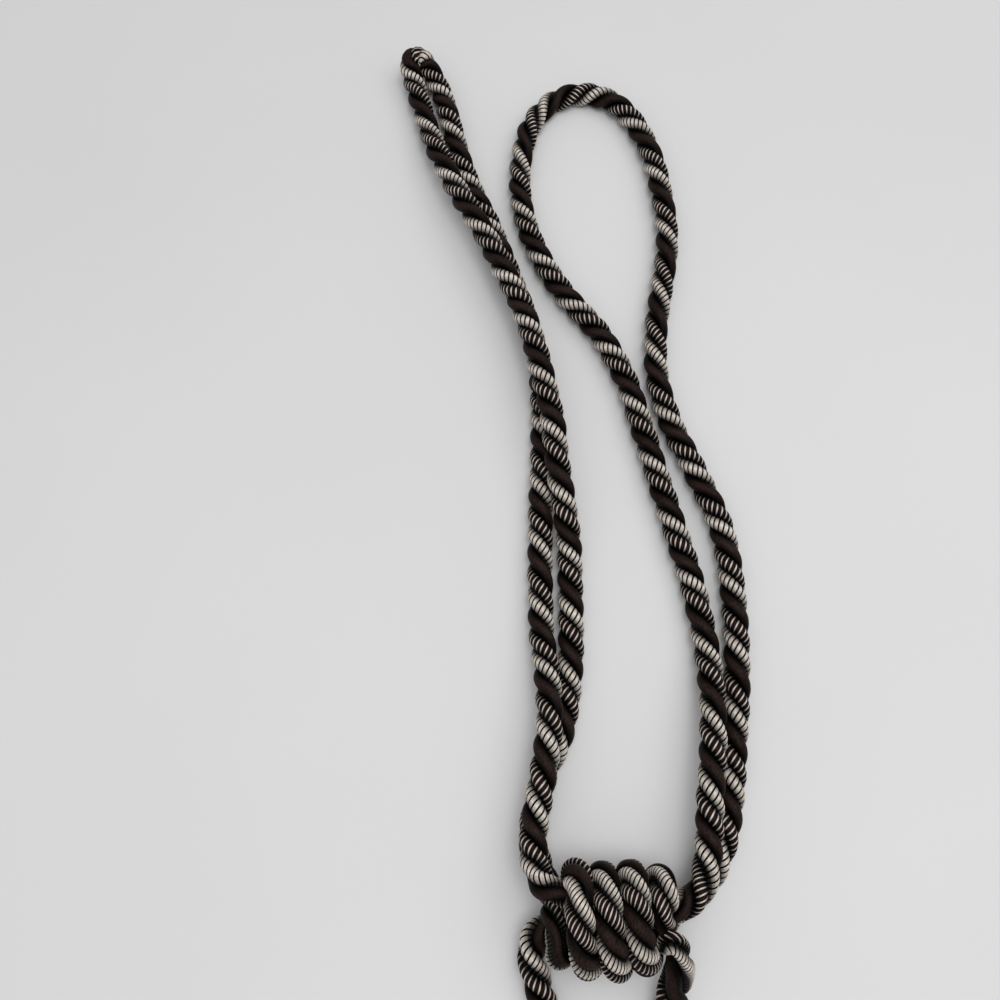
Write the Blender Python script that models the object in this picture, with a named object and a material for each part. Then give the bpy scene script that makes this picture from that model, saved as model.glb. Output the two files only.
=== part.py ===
"""Curtain tieback: one long three-strand rope with two loops, a barrel knot and a tassel.

The tieback lies on a table, +Z up, +Y from the tassel towards the tips of the loops.
One rope runs from the tassel's head through the knot, round the right loop, four times
round the knot, round the left loop, back through the knot and down to the head again.
All sizes are in metres.
"""
import math
import random

import bmesh
import bpy
import numpy as np
from mathutils import Matrix, Vector

# The table point under the middle of the whole part, in the frame of the route's points.
MIDDLE_X, MIDDLE_Y = 0.02275, 0.0210

# Rope.
ROPE_RADIUS = 0.0047        # loose rope, over its three strands
WRAP_RADIUS = 0.00425       # drawn tight round the knot
CORE_RADIUS = 0.0035        # squeezed inside the knot
VALLEY = 0.74               # how far in the groove beside a strand's ridge reaches
LOBE_HALF_ANGLE = math.radians(40)
STRANDS = 3
LAY = 0.0235                # length of one turn of the loose rope
KNOT_LAY = 0.031            # the turns are drawn out in the knot
RINGS_PER_TURN = 7
PRESSED = 0.0002            # how far the rope's ridges are flattened on the table
GAP = 0.0003                # left between pieces, and between passes of the rope

# Knot: a coil about an axis along X, with two passes of the rope inside it.
KNOT_X, KNOT_Y, KNOT_Z = 0.0370, -0.0233, 0.0174
COIL_RADIUS = 0.01315
COIL_START_X = 0.0237       # where the first turn passes its top edge
COIL_PITCH = 0.0088
COIL_LEAN = 0.0005
FIRST_TURN, LAST_TURN = -0.6, 3.2
TURN_STEP = 0.125
KNOT_HALF = (0.016, 0.012)  # half length and half width of the tightly drawn part
KNOT_FADE = 0.012
CORE_HALF_LENGTH = 0.0250
CORE_REACH = 0.0115         # passes nearer to the knot's axis than this are squeezed

# Tassel: a turned head lying on its side, and a skirt of cut cords.
TASSEL_X = 0.0324
HEAD_TOP_Y = -0.1083
HEAD_Z = 0.0192
HEAD_PROFILE = [            # (distance below the head's top face, radius)
    (0.0000, 0.0112), (0.0016, 0.0128), (0.0034, 0.0146), (0.0064, 0.0168), (0.0102, 0.0186),
    (0.0150, 0.0197), (0.0205, 0.0200), (0.0260, 0.0196), (0.0310, 0.0184), (0.0350, 0.0167),
    (0.0378, 0.0150), (0.0394, 0.0138), (0.0412, 0.0146), (0.0436, 0.0150), (0.0460, 0.0146),
    (0.0478, 0.0136),
]
HEAD_SIDES = 32
BAND_RADIUS = 0.0136
BAND_LENGTH = 0.007
SKIRT_LENGTH = 0.118
SKIRT_UNEVEN = 0.004
CORD_SIDE = 0.0024          # a skirt cord is square, this much each way
ROW_PITCH_TOP = 0.0028
ROW_PITCH_TIP = CORD_SIDE + GAP
CORD_PITCH_TOP = 0.0030
CORD_PITCH_TIP = 0.0046
SKIRT_ROWS = 9
CORD_STATIONS = (-0.03, 0.0, 0.12, 0.25, 0.38, 0.5, 1.0)   # shares of the skirt's length
SEED = 7

# The rope's route, point by point: (x, y, z) of its centre line.
LEG_IN = [
    (0.0273, -0.1080, 0.0205), (0.0270, -0.1030, 0.0200), (0.0245, -0.0930, 0.0155),
    (0.0205, -0.0780, 0.0085), (0.0172, -0.0620, 0.0047), (0.0132, -0.0455, 0.0050),
    (0.0103, -0.0350, 0.0065), (0.0108, -0.0285, 0.0080), (0.0150, -0.0268, 0.0095),
]
CORE_UP = [
    (0.0205, -0.0278, 0.0130), (0.0270, -0.0275, 0.0140), (0.0350, -0.0245, 0.0130),
    (0.0430, -0.0210, 0.0150), (0.0500, -0.0190, 0.0165),
]
RIGHT_LOOP = [
    (0.0580, -0.0190, 0.0170), (0.0640, -0.0137, 0.0160), (0.0665, -0.0030, 0.0150),
    (0.0682, 0.0120, 0.0145), (0.0708, 0.0310, 0.0130), (0.0721, 0.0462, 0.0100),
    (0.0722, 0.0624, 0.0060), (0.0695, 0.0842, 0.0047), (0.0641, 0.1068, 0.0047),
    (0.0582, 0.1303, 0.0047), (0.0537, 0.1487, 0.0047), (0.0482, 0.1690, 0.0047),
    (0.0394, 0.1874, 0.0047), (0.0245, 0.2077, 0.0047), (0.0139, 0.2288, 0.0047),
    (0.0087, 0.2507, 0.0047), (0.0093, 0.2734, 0.0047), (0.0142, 0.2906, 0.0047),
    (0.0243, 0.3022, 0.0047), (0.0370, 0.3054, 0.0047), (0.0486, 0.3012, 0.0047),
    (0.0581, 0.2890, 0.0047), (0.0640, 0.2734, 0.0047), (0.0676, 0.2507, 0.0047),
    (0.0682, 0.2288, 0.0047), (0.0646, 0.2077, 0.0047), (0.0613, 0.1874, 0.0047),
    (0.0610, 0.1677, 0.0047), (0.0653, 0.1487, 0.0047), (0.0728, 0.1303, 0.0047),
    (0.0812, 0.1068, 0.0047), (0.0833, 0.0842, 0.0047), (0.0830, 0.0626, 0.0047),
    (0.0816, 0.0470, 0.0047), (0.0793, 0.0318, 0.0047), (0.0765, 0.0150, 0.0047),
    (0.0725, 0.0000, 0.0047), (0.0665, -0.0110, 0.0047), (0.0590, -0.0165, 0.0055),
]
COIL_IN = [(0.0545, -0.0215, 0.0080), (0.0532, -0.0245, 0.0150)]
COIL_OUT = [(0.0193, -0.0290, 0.0222), (0.0185, -0.0220, 0.0172), (0.0180, -0.0165, 0.0100)]
LEFT_LOOP = [
    (0.0160, -0.0090, 0.0052), (0.0125, 0.0000, 0.0047), (0.0135, 0.0120, 0.0047),
    (0.0175, 0.0260, 0.0047), (0.0215, 0.0400, 0.0047), (0.0240, 0.0530, 0.0047),
    (0.0250, 0.0678, 0.0050), (0.0252, 0.0839, 0.0050), (0.0246, 0.1007, 0.0050),
    (0.0233, 0.1176, 0.0060), (0.0220, 0.1346, 0.0080), (0.0200, 0.1455, 0.0115),
    (0.0176, 0.1568, 0.0142), (0.0137, 0.1757, 0.0142), (0.0081, 0.1953, 0.0142),
    (0.0024, 0.2087, 0.0142), (-0.0038, 0.2225, 0.0142), (-0.0109, 0.2366, 0.0140),
    (-0.0188, 0.2526, 0.0120), (-0.0283, 0.2784, 0.0080), (-0.0341, 0.3012, 0.0060),
    (-0.0378, 0.3130, 0.0062), (-0.0378, 0.3190, 0.0078), (-0.0345, 0.3228, 0.0090),
    (-0.0298, 0.3224, 0.0090), (-0.0270, 0.3180, 0.0080), (-0.0264, 0.3095, 0.0062),
    (-0.0228, 0.2958, 0.0055),
    (-0.0189, 0.2805, 0.0050), (-0.0151, 0.2655, 0.0047), (-0.0096, 0.2507, 0.0047),
    (-0.0033, 0.2360, 0.0047), (0.0016, 0.2217, 0.0047), (0.0064, 0.2077, 0.0047),
    (0.0107, 0.1941, 0.0047), (0.0141, 0.1807, 0.0047), (0.0160, 0.1677, 0.0047),
    (0.0165, 0.1487, 0.0047), (0.0160, 0.1364, 0.0047), (0.0150, 0.1184, 0.0047),
    (0.0148, 0.1011, 0.0047), (0.0147, 0.0842, 0.0050), (0.0151, 0.0677, 0.0060),
    (0.0168, 0.0514, 0.0095), (0.0172, 0.0359, 0.0135), (0.0152, 0.0214, 0.0145),
    (0.0114, 0.0073, 0.0145), (0.0103, -0.0018, 0.0150), (0.0115, -0.0088, 0.0175),
    (0.0150, -0.0138, 0.0203),
]
CORE_DOWN = [
    (0.0200, -0.0157, 0.0212), (0.0270, -0.0190, 0.0210), (0.0350, -0.0222, 0.0218),
    (0.0430, -0.0265, 0.0195), (0.0490, -0.0292, 0.0185),
]
LEG_OUT = [
    (0.0532, -0.0305, 0.0180), (0.0555, -0.0335, 0.0155), (0.0555, -0.0380, 0.0115),
    (0.0542, -0.0450, 0.0068), (0.0500, -0.0600, 0.0047), (0.0448, -0.0780, 0.0085),
    (0.0402, -0.0930, 0.0155), (0.0378, -0.1030, 0.0200), (0.0375, -0.1080, 0.0205),
]

SAMPLE = 0.004              # spacing of the points read from the route's smooth curve
SPLINE_CUTS = 12
SETTLE_ROUNDS = 400
SETTLE_PUSH = 0.9
SETTLE_STIFF = 0.7          # how much of its own move a point keeps against its neighbours'
NEAR_ALONG = 0.030          # passes of the rope this near along it may touch


def clear_scene():
    for thing in list(bpy.data.objects):
        bpy.data.objects.remove(thing, do_unlink=True)


def material(name, colour, roughness):
    made = bpy.data.materials.new(name)
    made.use_nodes = True
    shader = made.node_tree.nodes["Principled BSDF"]
    shader.inputs["Base Color"].default_value = (*colour, 1.0)
    shader.inputs["Roughness"].default_value = roughness
    shader.inputs["Metallic"].default_value = 0.0
    return made


def add_object(name, mesh, finish, collection):
    thing = bpy.data.objects.new(name, mesh)
    thing.data.materials.append(finish)
    collection.objects.link(thing)
    return thing


def blend(low, high, share):
    return low + (high - low) * share


def coil_point(turn):
    """A point of the knot's coil: the top edge at whole turns, the front a quarter turn on."""
    angle = 2 * math.pi * turn
    last_turn_drawn_in = 0.0010 * min(max((turn - 2.6) / 0.4, 0), 1)
    first_turn_drawn_in = 0.0022 * min(max(-turn / 0.5, 0), 1)
    radius = COIL_RADIUS - last_turn_drawn_in - first_turn_drawn_in
    return (COIL_START_X + COIL_PITCH * turn - COIL_LEAN * math.cos(angle),
            KNOT_Y + radius * math.cos(angle), KNOT_Z + radius * math.sin(angle))


def route_points():
    turns = np.arange(LAST_TURN, FIRST_TURN - 0.5 * TURN_STEP, -TURN_STEP)
    coil = [coil_point(turn) for turn in turns]
    return (LEG_IN + CORE_UP + RIGHT_LOOP + COIL_IN + coil + COIL_OUT
            + LEFT_LOOP + CORE_DOWN + LEG_OUT)


def lengths_along(points):
    steps = np.linalg.norm(np.diff(points, axis=0), axis=1)
    return np.concatenate([[0.0], np.cumsum(steps)])


def at_lengths(points, places):
    along = lengths_along(points)
    return np.stack([np.interp(places, along, points[:, axis]) for axis in range(3)], axis=1)


def smooth_curve(points):
    """Centripetal Catmull-Rom spline through the points, read off at even steps."""
    knots = np.array(points, dtype=float)
    knots = np.vstack([2 * knots[0] - knots[1], knots, 2 * knots[-1] - knots[-2]])
    curve = []
    for index in range(1, len(knots) - 2):
        a, b, c, d = knots[index - 1:index + 3]
        tb = math.sqrt(np.linalg.norm(b - a))
        tc = tb + math.sqrt(np.linalg.norm(c - b))
        td = tc + math.sqrt(np.linalg.norm(d - c))
        for t in np.linspace(tb, tc, SPLINE_CUTS, endpoint=False):
            ab = blend(a, b, t / tb)
            bc = blend(b, c, (t - tb) / (tc - tb))
            cd = blend(c, d, (t - tc) / (td - tc))
            abc = blend(ab, bc, t / tc)
            bcd = blend(bc, cd, (t - tb) / (td - tb))
            curve.append(blend(abc, bcd, (t - tb) / (tc - tb)))
    curve.append(knots[-2])
    curve = np.array(curve)
    total = lengths_along(curve)[-1]
    return at_lengths(curve, np.linspace(0.0, total, int(round(total / SAMPLE)) + 1))


def knot_share(points):
    """1 in the tightly drawn knot, falling to 0 away from it."""
    along = np.maximum(np.abs(points[:, 0] - KNOT_X) - KNOT_HALF[0], 0)
    across = np.maximum(np.abs(points[:, 1] - KNOT_Y) - KNOT_HALF[1], 0)
    return np.clip(1 - np.hypot(along, across) / KNOT_FADE, 0, 1)


def rope_radii(points):
    """The rope's radius at each point: thinner in the knot, thinnest inside its coil."""
    off_axis = np.hypot(points[:, 1] - KNOT_Y, points[:, 2] - KNOT_Z)
    inside = np.clip((CORE_REACH - off_axis) / 0.003, 0, 1)
    inside *= np.clip((CORE_HALF_LENGTH - np.abs(points[:, 0] - KNOT_X)) / 0.004, 0, 1)
    return (ROPE_RADIUS + (WRAP_RADIUS - ROPE_RADIUS) * knot_share(points)
            + (CORE_RADIUS - WRAP_RADIUS) * inside)


def settle(points):
    """Ease the rope's passes apart until none presses into another or into the table."""
    radii = rope_radii(points)
    need = radii[:, None] + radii[None, :] + GAP
    order = np.arange(len(points))
    apart = np.abs(order[:, None] - order[None, :]) >= int(round(NEAR_ALONG / SAMPLE))
    eased = points.copy()
    for _ in range(SETTLE_ROUNDS):
        away = eased[:, None, :] - eased[None, :, :]
        distance = np.maximum(np.linalg.norm(away, axis=2), 1e-9)
        close = apart & (distance < need)
        push = np.where(close, (need - distance) / 2, 0) / distance
        shared = np.maximum(close.sum(axis=1), 1)[:, None]
        eased += SETTLE_PUSH * (away * push[:, :, None]).sum(axis=1) / shared
        moved = eased - points
        sides = moved[:-2] + moved[2:]
        moved[1:-1] = SETTLE_STIFF * moved[1:-1] + (1 - SETTLE_STIFF) / 2 * sides
        eased = points + moved
        eased[:, 2] = np.maximum(eased[:, 2], radii - PRESSED)
    return eased


def turns_along(points):
    """The rope's turns of twist up to each point, fewer to the metre in the knot."""
    share = knot_share(points)
    lay = LAY + (KNOT_LAY - LAY) * share
    steps = np.diff(lengths_along(points))
    return np.concatenate([[0.0], np.cumsum(steps * 2 / (lay[1:] + lay[:-1]))])


def carried_frames(points):
    """Directions across the rope that turn no more than its route makes them."""
    tangents = np.gradient(points, axis=0)
    tangents /= np.linalg.norm(tangents, axis=1)[:, None]
    side = np.cross(tangents[0], (0.0, 0.0, 1.0))
    side /= np.linalg.norm(side)
    sides = [side]
    for tangent in tangents[1:]:
        side = side - tangent * np.dot(side, tangent)
        side /= np.linalg.norm(side)
        sides.append(side)
    sides = np.array(sides)
    return sides, np.cross(tangents, sides)


def rope_section():
    """One ring of the rope as (angle, share of the radius): a ridge and two flanks a strand."""
    ring = []
    for strand in range(STRANDS):
        ridge = strand * 2 * math.pi / STRANDS
        ring += [(ridge - LOBE_HALF_ANGLE, VALLEY), (ridge, 1.0), (ridge + LOBE_HALF_ANGLE, VALLEY)]
    return ring


def rope_mesh():
    route = settle(smooth_curve(route_points()))
    turns = turns_along(route)
    along = lengths_along(route)
    ring_count = int(round(turns[-1] * RINGS_PER_TURN)) + 1
    ring_turns = np.linspace(0.0, turns[-1], ring_count)
    centres = at_lengths(route, np.interp(ring_turns, turns, along))
    radii = rope_radii(centres)
    sides, ups = carried_frames(centres)
    section = rope_section()
    mesh_maker = bmesh.new()
    rings = []
    for centre, radius, side, up, turn in zip(centres, radii, sides, ups, ring_turns):
        twist = -2 * math.pi * turn
        ring = []
        for angle, share in section:
            across = side * math.cos(angle + twist) + up * math.sin(angle + twist)
            spot = centre + across * radius * share
            spot[1] = max(spot[1], HEAD_TOP_Y + GAP)    # the ends stop square at the head
            spot[2] = max(spot[2], 0.0)                 # and the ridges lie flat on the table
            ring.append(mesh_maker.verts.new(spot))
        rings.append(ring)
    size = len(section)
    for near, far in zip(rings, rings[1:]):
        for k in range(size):
            mesh_maker.faces.new((near[k], near[(k + 1) % size], far[(k + 1) % size], far[k]))
    mesh_maker.faces.new(list(reversed(rings[0])))
    mesh_maker.faces.new(rings[-1])
    bmesh.ops.triangulate(mesh_maker, faces=mesh_maker.faces[:])
    mesh = bpy.data.meshes.new("rope")
    mesh_maker.to_mesh(mesh)
    mesh_maker.free()
    mesh.shade_smooth()
    return mesh


def lying_down():
    """Turns a piece made along +Z, top down, to lie along -Y at the tassel's height."""
    return Matrix.Translation((TASSEL_X, HEAD_TOP_Y, HEAD_Z)) @ Matrix.Rotation(math.pi / 2, 4, "X")


def head_mesh():
    """The turned head, wound with yarn, with a bound neck and a flat spot where it lies."""
    mesh_maker = bmesh.new()
    rings = []
    for depth, radius in HEAD_PROFILE:
        ring = []
        for k in range(HEAD_SIDES):
            angle = 2 * math.pi * (k + 0.5) / HEAD_SIDES
            ring.append(mesh_maker.verts.new((radius * math.cos(angle), radius * math.sin(angle), depth)))
        rings.append(ring)
    for near, far in zip(rings, rings[1:]):
        for k in range(HEAD_SIDES):
            mesh_maker.faces.new((near[k], near[(k + 1) % HEAD_SIDES],
                                  far[(k + 1) % HEAD_SIDES], far[k]))
    mesh_maker.faces.new(list(reversed(rings[0])))
    mesh_maker.faces.new(rings[-1])
    mesh_maker.transform(lying_down())
    everything = mesh_maker.verts[:] + mesh_maker.edges[:] + mesh_maker.faces[:]
    cut = bmesh.ops.bisect_plane(mesh_maker, geom=everything, plane_co=(0, 0, 0),
                                 plane_no=(0, 0, -1), clear_outer=True)
    rim = [part for part in cut["geom_cut"] if isinstance(part, bmesh.types.BMEdge)]
    bmesh.ops.holes_fill(mesh_maker, edges=rim, sides=len(rim))
    bmesh.ops.recalc_face_normals(mesh_maker, faces=mesh_maker.faces[:])
    mesh = bpy.data.meshes.new("tassel_head")
    mesh_maker.to_mesh(mesh)
    mesh_maker.free()
    mesh.shade_smooth()
    return mesh


def skirt_cords():
    """Root and tip of each skirt cord: rows that sink to lie on the table and on each other."""
    draw = random.Random(SEED)
    cords = []
    root_y = HEAD_TOP_Y - HEAD_PROFILE[-1][0] - GAP - BAND_LENGTH
    for row in range(SKIRT_ROWS):
        rise = (row - (SKIRT_ROWS - 1) / 2) * ROW_PITCH_TOP
        reach = math.sqrt(max((BAND_RADIUS - 0.8 * CORD_SIDE) ** 2 - rise ** 2, 0))
        count = int(2 * reach / CORD_PITCH_TOP) + 1
        for k in range(count):
            place = k - (count - 1) / 2
            root = (TASSEL_X + place * CORD_PITCH_TOP, root_y, HEAD_Z + rise)
            length = SKIRT_LENGTH + draw.uniform(-SKIRT_UNEVEN, SKIRT_UNEVEN)
            tip = (TASSEL_X + place * CORD_PITCH_TIP, root_y - length,
                   CORD_SIDE / 2 + row * ROW_PITCH_TIP)
            cords.append((root, tip))
    return cords


def add_cord(mesh_maker, root, tip):
    """A square cord that leaves its root level and comes down to its tip's height."""
    half = CORD_SIDE / 2
    rings = []
    for station in CORD_STATIONS:
        sunk = min(max(station, 0.0) / 0.5, 1.0)
        sunk = sunk * sunk * (3 - 2 * sunk)
        x = blend(root[0], tip[0], station)
        y = tip[1] if station == 1.0 else root[1] - SKIRT_LENGTH * station
        z = blend(root[2], tip[2], sunk)
        corners = [(-half, -half), (half, -half), (half, half), (-half, half)]
        rings.append([mesh_maker.verts.new((x + dx, y, z + dz)) for dx, dz in corners])
    for near, far in zip(rings, rings[1:]):
        for k in range(4):
            mesh_maker.faces.new((near[k], near[(k + 1) % 4], far[(k + 1) % 4], far[k]))
    mesh_maker.faces.new(list(reversed(rings[0])))
    mesh_maker.faces.new(rings[-1])


def skirt_mesh(collection):
    """A short band with all the cords' roots fused into its lower end."""
    cords_maker = bmesh.new()
    for root, tip in skirt_cords():
        add_cord(cords_maker, root, tip)
    bmesh.ops.recalc_face_normals(cords_maker, faces=cords_maker.faces[:])
    cords = bpy.data.meshes.new("skirt_cords")
    cords_maker.to_mesh(cords)
    cords_maker.free()
    cutter = bpy.data.objects.new("skirt_cords", cords)
    collection.objects.link(cutter)

    band_maker = bmesh.new()
    bmesh.ops.create_cone(band_maker, cap_ends=True, segments=HEAD_SIDES, radius1=BAND_RADIUS,
                          radius2=BAND_RADIUS, depth=BAND_LENGTH)
    drop = HEAD_PROFILE[-1][0] + GAP + BAND_LENGTH / 2
    band_maker.transform(lying_down() @ Matrix.Translation((0, 0, drop)))
    band = bpy.data.meshes.new("band")
    band_maker.to_mesh(band)
    band_maker.free()
    band_object = bpy.data.objects.new("band", band)
    collection.objects.link(band_object)

    union = band_object.modifiers.new("fuse", "BOOLEAN")
    union.operation = "UNION"
    union.solver = "EXACT"
    union.object = cutter
    bpy.context.view_layer.update()
    evaluated = band_object.evaluated_get(bpy.context.evaluated_depsgraph_get())
    mesh = bpy.data.meshes.new_from_object(evaluated)
    mesh.name = "tassel_skirt"
    bpy.data.objects.remove(band_object, do_unlink=True)
    bpy.data.objects.remove(cutter, do_unlink=True)
    return mesh


def move_to_middle(mesh):
    mesh.transform(Matrix.Translation(Vector((-MIDDLE_X, -MIDDLE_Y, 0.0))))


def main():
    clear_scene()
    parts = bpy.data.collections.new("curtain_tieback")
    bpy.context.scene.collection.children.link(parts)
    rope_yarn = material("rope_yarn", (0.10, 0.08, 0.07), 0.75)
    head_yarn = material("head_yarn", (0.05, 0.04, 0.035), 0.7)
    skirt_yarn = material("skirt_yarn", (0.07, 0.055, 0.05), 0.8)
    meshes = {
        "rope": (rope_mesh(), rope_yarn),
        "tassel_head": (head_mesh(), head_yarn),
        "tassel_skirt": (skirt_mesh(parts), skirt_yarn),
    }
    for name, (mesh, finish) in meshes.items():
        move_to_middle(mesh)
        mesh.materials.clear()
        add_object(name, mesh, finish, parts)


main()
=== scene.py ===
"""Curtain tieback: three-strand rope with two loops and a barrel knot, and a tassel.

It lies on a pale table, +Z up, +Y from the tassel towards the tips of the loops.
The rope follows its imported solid's route, read a few millimetres finer in the knot and the
left loop. All sizes are in metres.
"""
import math
import random

import bpy
import numpy as np
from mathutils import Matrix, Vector


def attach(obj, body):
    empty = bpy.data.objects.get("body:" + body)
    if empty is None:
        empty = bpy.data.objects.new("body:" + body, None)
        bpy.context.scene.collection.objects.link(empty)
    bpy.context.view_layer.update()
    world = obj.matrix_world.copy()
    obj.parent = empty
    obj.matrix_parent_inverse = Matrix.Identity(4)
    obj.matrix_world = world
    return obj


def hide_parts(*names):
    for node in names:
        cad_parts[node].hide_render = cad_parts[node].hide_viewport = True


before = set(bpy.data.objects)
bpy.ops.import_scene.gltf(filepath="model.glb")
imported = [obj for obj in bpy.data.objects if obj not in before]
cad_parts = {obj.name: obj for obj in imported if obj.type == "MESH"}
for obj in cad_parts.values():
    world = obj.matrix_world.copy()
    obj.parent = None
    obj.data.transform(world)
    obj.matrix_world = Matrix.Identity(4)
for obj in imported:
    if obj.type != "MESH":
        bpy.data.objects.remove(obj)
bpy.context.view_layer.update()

# The table point under the middle of the whole part, in the frame of the route's points.
MIDDLE = np.array((0.02275, 0.0210, 0.0))
LOWEST = 0.0001             # no surface of the part reaches lower over the table


def blend(low, high, share):
    return low + (high - low) * share


def ramp(value, start, end):
    """0 up to start, 1 from end on, and even between them; end may lie below start."""
    return np.clip((value - start) / (end - start), 0, 1)


def summed(steps):
    """The running total of the steps, from nought."""
    return np.concatenate([[0.0], np.cumsum(steps)])


def between(values):
    """Each value's mean with the next."""
    return (values[1:] + values[:-1]) / 2


# ---------------------------------------------------------------- camera
CAMERA_AT = np.array((0.0, 0.0, 0.341))     # in the frame of the route's points
CAMERA_TILT = math.radians(19.4)            # from looking straight down, towards +Y
FOCAL_SHARE = 0.963                         # of the picture's side
PICTURE = 1000                              # pixels each way
SENSOR = 36.0


def add_camera():
    data = bpy.data.cameras.new("camera")
    data.sensor_width = SENSOR
    data.lens = FOCAL_SHARE * SENSOR
    data.clip_start, data.clip_end = 0.01, 50.0
    camera = bpy.data.objects.new("camera", data)
    camera.location = CAMERA_AT - MIDDLE
    camera.rotation_euler = (CAMERA_TILT, 0.0, 0.0)
    bpy.context.scene.collection.objects.link(camera)
    bpy.context.scene.camera = camera


def in_picture(points):
    """Where points of the route's frame fall in the photograph, across and down."""
    ahead = points - CAMERA_AT
    up = ahead[..., 1] * math.cos(CAMERA_TILT) + ahead[..., 2] * math.sin(CAMERA_TILT)
    depth = ahead[..., 1] * math.sin(CAMERA_TILT) - ahead[..., 2] * math.cos(CAMERA_TILT)
    scale = FOCAL_SHARE * PICTURE / depth
    return np.stack([PICTURE / 2 + scale * ahead[..., 0], PICTURE / 2 - scale * up], axis=-1)


# ---------------------------------------------------------------- rope: route
ROPE_RADIUS = 0.0047        # loose rope, over its three strands
WRAP_RADIUS = 0.00425       # drawn tight round the knot
CORE_RADIUS = 0.0035        # squeezed inside the knot
SEEN_WRAP_RADIUS = 0.0046   # the wraps press into each other's grooves
PRESSED = 0.0002            # how far the rope flattens on the table
GAP = 0.0003                # left between passes of the rope
KNOT_X, KNOT_Y, KNOT_Z = 0.0370, -0.0233, 0.0174
KNOT_HALF = (0.016, 0.012)  # half length and half width of the tightly drawn part
KNOT_FADE = 0.012           # and how far off it the rope is loose again
CORE_HALF_LENGTH = 0.0250
CORE_LENGTH_FADE = 0.004
CORE_REACH = 0.0115         # passes nearer to the knot's axis than this are squeezed
CORE_REACH_FADE = 0.003

COIL_RADIUS = 0.01315
COIL_START_X = 0.0224
COIL_PITCH = 0.0088
COIL_LEAN = -0.0003         # how far the top edge of each turn stands to the left
COIL_SWAY = 0.0017          # and how far its front does
FIRST_TURN, LAST_TURN = -0.5, 3.12
TURN_STEP = 0.125
# How the ends of the coil depart from an even helix: a size, and the turns it comes in over.
LAST_TURN_DRAWN_IN, LAST_DRAWN_OVER = 0.0014, (2.0, 2.5)
FIRST_TURN_DRAWN_IN, FIRST_DRAWN_OVER = 0.0040, (0.25, -0.5)
FIRST_TURNS_DOWN, DOWN_OVER = 0.0008, (2.0, 0.0)
FIRST_TURN_RIGHT, RIGHT_OVER = 0.0013, (0.0, -0.5)

SAMPLE = 0.004              # spacing of the centre line while it settles
SPLINE_CUTS = 12
SETTLE_ROUNDS = 400
SETTLE_PUSH = 0.9           # share of an overlap that one round takes away
SETTLE_STIFF = 0.7          # how little a move spreads along the rope
NEAR_ALONG = 0.030          # nearer than this along the rope, its own bends may touch
DIVE = (0.0520, -0.0238, 0.0185)    # where the rope dives into the coil's end, squeezed
DIVE_OVER = (0.011, 0.006)  # the distances from there over which the squeeze comes in
DIVE_SQUEEZE = 0.7
SLACK = (0.0535, -0.0450, 0.0090)   # where the strands of the right leg are eased open
SLACK_OVER = (0.0162, 0.0072)
SLACK_SWELL = 0.14

LEG_IN = [
    (0.0273, -0.1080, 0.0205), (0.0270, -0.1030, 0.0200), (0.0245, -0.0930, 0.0155),
    (0.0205, -0.0780, 0.0085), (0.0172, -0.0620, 0.0047), (0.0132, -0.0455, 0.0050),
    (0.0110, -0.0360, 0.0065), (0.0122, -0.0308, 0.0080), (0.0155, -0.0283, 0.0095),
]
CORE_UP = [
    (0.0205, -0.0278, 0.0130), (0.0270, -0.0275, 0.0140), (0.0350, -0.0245, 0.0130),
    (0.0430, -0.0215, 0.0150), (0.0500, -0.0225, 0.0160),
]
RIGHT_LOOP = [
    (0.0570, -0.0215, 0.0170), (0.0640, -0.0137, 0.0160), (0.0665, -0.0030, 0.0150),
    (0.0682, 0.0120, 0.0145), (0.0708, 0.0310, 0.0130), (0.0721, 0.0462, 0.0100),
    (0.0722, 0.0624, 0.0060), (0.0695, 0.0842, 0.0047), (0.0641, 0.1068, 0.0047),
    (0.0582, 0.1303, 0.0047), (0.0537, 0.1487, 0.0047), (0.0482, 0.1690, 0.0047),
    (0.0394, 0.1874, 0.0047), (0.0245, 0.2077, 0.0047), (0.0139, 0.2288, 0.0047),
    (0.0087, 0.2507, 0.0047), (0.0093, 0.2734, 0.0047), (0.0142, 0.2906, 0.0047),
    (0.0243, 0.3022, 0.0047), (0.0370, 0.3054, 0.0047), (0.0486, 0.3012, 0.0047),
    (0.0581, 0.2890, 0.0047), (0.0640, 0.2734, 0.0047), (0.0676, 0.2507, 0.0047),
    (0.0682, 0.2288, 0.0047), (0.0646, 0.2077, 0.0047), (0.0613, 0.1874, 0.0047),
    (0.0610, 0.1677, 0.0047), (0.0653, 0.1487, 0.0047), (0.0728, 0.1303, 0.0047),
    (0.0812, 0.1068, 0.0047), (0.0833, 0.0842, 0.0047), (0.0830, 0.0626, 0.0047),
    (0.0816, 0.0470, 0.0047), (0.0793, 0.0318, 0.0047), (0.0765, 0.0150, 0.0047),
    (0.0725, 0.0000, 0.0047), (0.0665, -0.0110, 0.0047), (0.0600, -0.0170, 0.0050),
]
COIL_IN = [
    (0.0545, -0.0205, 0.0065), (0.0508, -0.0240, 0.0115), (0.0484, -0.0250, 0.0200),
    (0.0480, -0.0208, 0.0260),
]
COIL_OUT = [
    (0.0192, -0.0308, 0.0190), (0.0190, -0.0270, 0.0190), (0.0186, -0.0225, 0.0158),
    (0.0180, -0.0165, 0.0100),
]
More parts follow.
